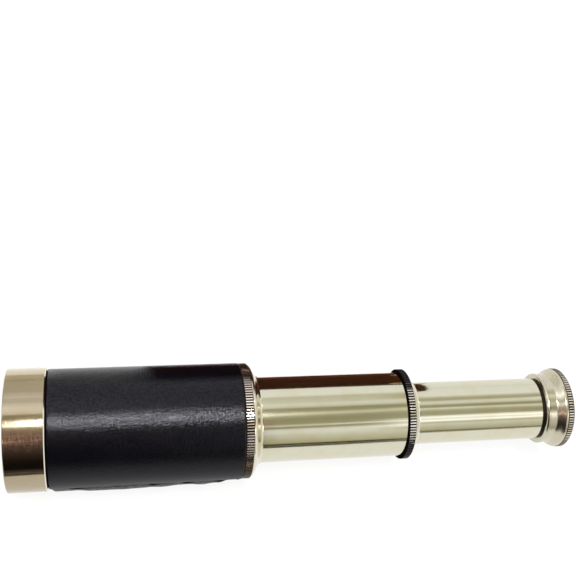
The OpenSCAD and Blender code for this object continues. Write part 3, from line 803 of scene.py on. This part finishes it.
# ---------------------------------------------------------------- stitches

STITCH_R = 0.17
STITCH_LENGTH = 2.0
STITCH_POINTS, STITCH_SIDES = 9, 8
STITCH_RISE, STITCH_SINK, STITCH_BOW = 0.10, 0.12, 0.10
FIRST_STITCH, STITCH_LIMIT = SEAM_X0 + 2.2, SEAM_X1 - 2.4


def stitch(points, radius):
    """Closed tube through points, tapering to its ends."""
    verts = []
    count, sides = len(points), STITCH_SIDES
    for i, p in enumerate(points):
        ahead = Vector(points[min(i + 1, count - 1)]) - Vector(points[max(i - 1, 0)])
        ahead.normalize()
        side = ahead.cross(Vector((0, 0.3, 1))).normalized()
        up = side.cross(ahead)
        share = math.sin(math.pi * (i + 0.5) / count) ** 0.35
        for k in range(sides):
            t = 2 * math.pi * k / sides
            verts.append(Vector(p) + (side * math.cos(t) + up * math.sin(t)) * radius * share)
    first_end = tuple(reversed(range(sides)))
    last_end = tuple((count - 1) * sides + k for k in range(sides))
    return verts, grid_faces(count, sides) + [first_end, last_end]


def seam_point(s, w, lift):
    """Point over the leather's surface at station s and arc distance w, raised by lift in mm."""
    radius = LEATHER_R + float(leather_height(np.array(s), np.array(w))) + lift
    turn = SEAM_TURN + w / LEATHER_R
    return (s * MM + FRONT_X, -math.sin(turn) * radius * MM,
            -math.cos(turn) * radius * MM + AXIS_Z)


def stitch_path(s):
    """Points of one stitch: it dips into the leather at both ends and bows downwards."""
    path = []
    for k in range(STITCH_POINTS):
        t = k / (STITCH_POINTS - 1)
        arch = math.sin(math.pi * t)
        lift = STITCH_RISE * arch - STITCH_SINK * (1 - arch)
        place = s + STITCH_LENGTH * (t - 0.5)
        path.append(seam_point(place, STITCH_LINE - STITCH_BOW * arch, lift))
    return path


def make_stitches():
    verts, faces = [], []
    s = FIRST_STITCH
    while s < STITCH_LIMIT:
        new_verts, new_faces = stitch(stitch_path(s), STITCH_R * MM)
        base = len(verts)
        verts += new_verts
        faces += [tuple(base + i for i in face) for face in new_faces]
        s += STITCH_PITCH
    obj = mesh_object("seam_thread", verts, faces)
    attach(obj, "barrel")
    m = Material("waxed_thread")
    m.axis_coordinates()
    twist = m.noise((9, 6, 6), detail=2, roughness=0.5)
    m.set(base_color=m.mix(twist, (0.008, 0.008, 0.008), (0.03, 0.028, 0.026)), roughness=0.55)
    m.bump(twist, strength=0.6, distance=0.00006)
    obj.data.materials.append(m.mat)


# ---------------------------------------------------------------- what the metal reflects

# The wooden box behind, in metres: its ends, its front and back, its top, and the roundings of
# the right end at the top and the foot.
BOX_X0, BOX_X1 = -0.040, 0.0468
BOX_Y0, BOX_Y1 = 0.038, 0.086
BOX_TOP = 0.0352
TOP_ROUND, FOOT_ROUND = 0.006, 0.003
ROUND_STEPS, ROUND_STEP_ANGLE = 7, 15
END_CARD_GAP = 0.001
WOOD_DARK, WOOD_PALE = (0.034, 0.0095, 0.004), (0.086, 0.027, 0.011)
# The dark foot of the box on the floor, as seen from above.
FOOT_OUTLINE = [
    (BOX_X0, 0.0295), (-0.010, 0.0295), (-0.010, 0.022), (0.040, 0.022), (0.0405, 0.0305),
    (BOX_X1, 0.0305), (BOX_X1, BOX_Y0), (BOX_X0, BOX_Y0)]
FOOT_Z = 0.0004
# The brass inlays on the box's front: height, first x, last x.
INLAYS = [(0.0035, 0.0362, 0.0447), (BOX_TOP - 0.004, 0.0341, 0.0444)]
INLAY_HALF = 0.0011
INLAY_GAP = 0.0002

TABLE_CARD_Z = 0.0006
TABLE_GLOW_COLOR = (0.94, 0.97, 1)
# The slanting front edge of the table, and the dark beyond it.
DARK_OUTLINE = [(-0.13, -0.068), (0.062, -0.23), (0.235, -0.48), (0.8, -1.4), (0.8, -3.0),
                (-3.0, -3.0), (-3.0, -0.064)]
DARK_Z = 0.001
GLEAM_OUTLINE = [(-0.13, -0.168), (-0.06, -0.198), (-0.06, -0.214), (-0.13, -0.184)]
GLEAM_Z = 0.0015


def reflected_only(obj, mat):
    """Gives a thing its material and sets which rays see it, so that the metal mirrors it and
    nothing else sees it."""
    obj.data.materials.append(mat)
    obj.visible_camera = False
    obj.visible_diffuse = False
    obj.visible_transmission = False
    obj.visible_shadow = False


def plain(name, color, roughness=0.9, **more):
    """A material of one colour."""
    m = Material(name)
    m.set(base_color=color, roughness=roughness, **more)
    return m.mat


def level(outline, z):
    """Corners at one height."""
    return [(x, y, z) for x, y in outline]


def wood():
    m = Material("wood_reflection")
    m.axis_coordinates()
    grain = m.ramp_between(m.noise((0.08, 0.5, 0.9)), 0.35, 0.65)
    m.set(base_color=m.mix(grain, WOOD_DARK, WOOD_PALE), roughness=0.8, specular_ior_level=0.1)
    return m.mat


def box_mesh():
    """The box as its outline from the front, drawn out from its front to its back."""
    outline = [(BOX_X0, 0), (BOX_X0, BOX_TOP)]
    roundings = ((BOX_TOP - TOP_ROUND, 90, TOP_ROUND), (FOOT_ROUND, 0, FOOT_ROUND))
    for centre_z, start, bend in roundings:
        for k in range(ROUND_STEPS):
            a = math.radians(start - ROUND_STEP_ANGLE * k)
            outline.append((BOX_X1 - bend + bend * math.cos(a), centre_z + bend * math.sin(a)))
    count = len(outline)
    verts = [(x, y, z) for y in (BOX_Y0, BOX_Y1) for x, z in outline]
    faces = [tuple(range(count)), tuple(reversed(range(count, 2 * count)))]
    faces += [(k, k + count, (k + 1) % count + count, (k + 1) % count) for k in range(count)]
    return mesh_object("box_behind", verts, faces, smooth_faces=False)


def make_box_behind():
    """The wooden box behind the spyglass in the photo, as high as the metal shows of it: its
    body, its pale right end, its dark foot and two brass inlays."""
    wood_mat = wood()
    reflected_only(box_mesh(), wood_mat)
    x, y, z = BOX_X1 + END_CARD_GAP, BOX_Y0 + END_CARD_GAP, END_CARD_GAP
    end_card = flat_card("box_end_gleam", [(x, y, z), (x, BOX_Y1, z), (x, BOX_Y1, BOX_TOP),
                                           (x, y, BOX_TOP)])
    reflected_only(end_card, plain("box_end_reflection", (0.80, 0.78, 0.72)))
    reflected_only(flat_card("box_foot_shade", level(FOOT_OUTLINE, FOOT_Z)), wood_mat)
    y = BOX_Y0 - INLAY_GAP
    for k, (z, x0, x1) in enumerate(INLAYS, 1):
        low, high = z - INLAY_HALF, z + INLAY_HALF
        inlay = flat_card("box_inlay_%d" % k, [(x0, y, low), (x1, y, low), (x1, y, high),
                                               (x0, y, high)])
        reflected_only(inlay, plain("inlay_reflection_%d" % k, (0.80, 0.52, 0.20), 0.5))


def table_card(name, x0, x1, y0, y1, color, glow=0.0):
    """A plain rectangle just over the floor."""
    card = flat_card(name, level([(x0, y0), (x1, y0), (x1, y1), (x0, y1)], TABLE_CARD_Z))
    reflected_only(card, plain(name + "_reflection", color, emission_strength=glow,
                               emission_color=TABLE_GLOW_COLOR))


def make_table_behind():
    """Left of the box the table is bright close behind the spyglass and dimmer far away."""
    table_card("near_table", -2, -0.0675, 0.018, 0.090, (0.86, 0.89, 0.93), glow=0.10)
    table_card("far_table", -2, -0.045, 0.090, 2, (0.56, 0.54, 0.45))


def make_table_front():
    """In front of the spyglass the pale table ends along a slanting edge: beyond it the metal
    mirrors the dark, with one gleam in it."""
    gleam = flat_card("gleam_beyond_table", level(GLEAM_OUTLINE, GLEAM_Z))
    reflected_only(gleam, plain("gleam_reflection", (0.50, 0.44, 0.36)))
    dark = flat_card("dark_beyond_table", level(DARK_OUTLINE, DARK_Z))
    reflected_only(dark, plain("dark_room_reflection", (0.012, 0.009, 0.008)))


make_camera()
make_floor()
make_world()
make_lamp("overhead", place=(-0.1, -0.25, 1.1), aim=(0, 0, 0), size_x=1.2, size_y=0.8, power=7)
make_metals()
make_leather()
make_stitches()
make_box_behind()
make_table_behind()
make_table_front()

bpy.context.scene.view_settings.view_transform = "Standard"

bpy.context.view_layer.update()
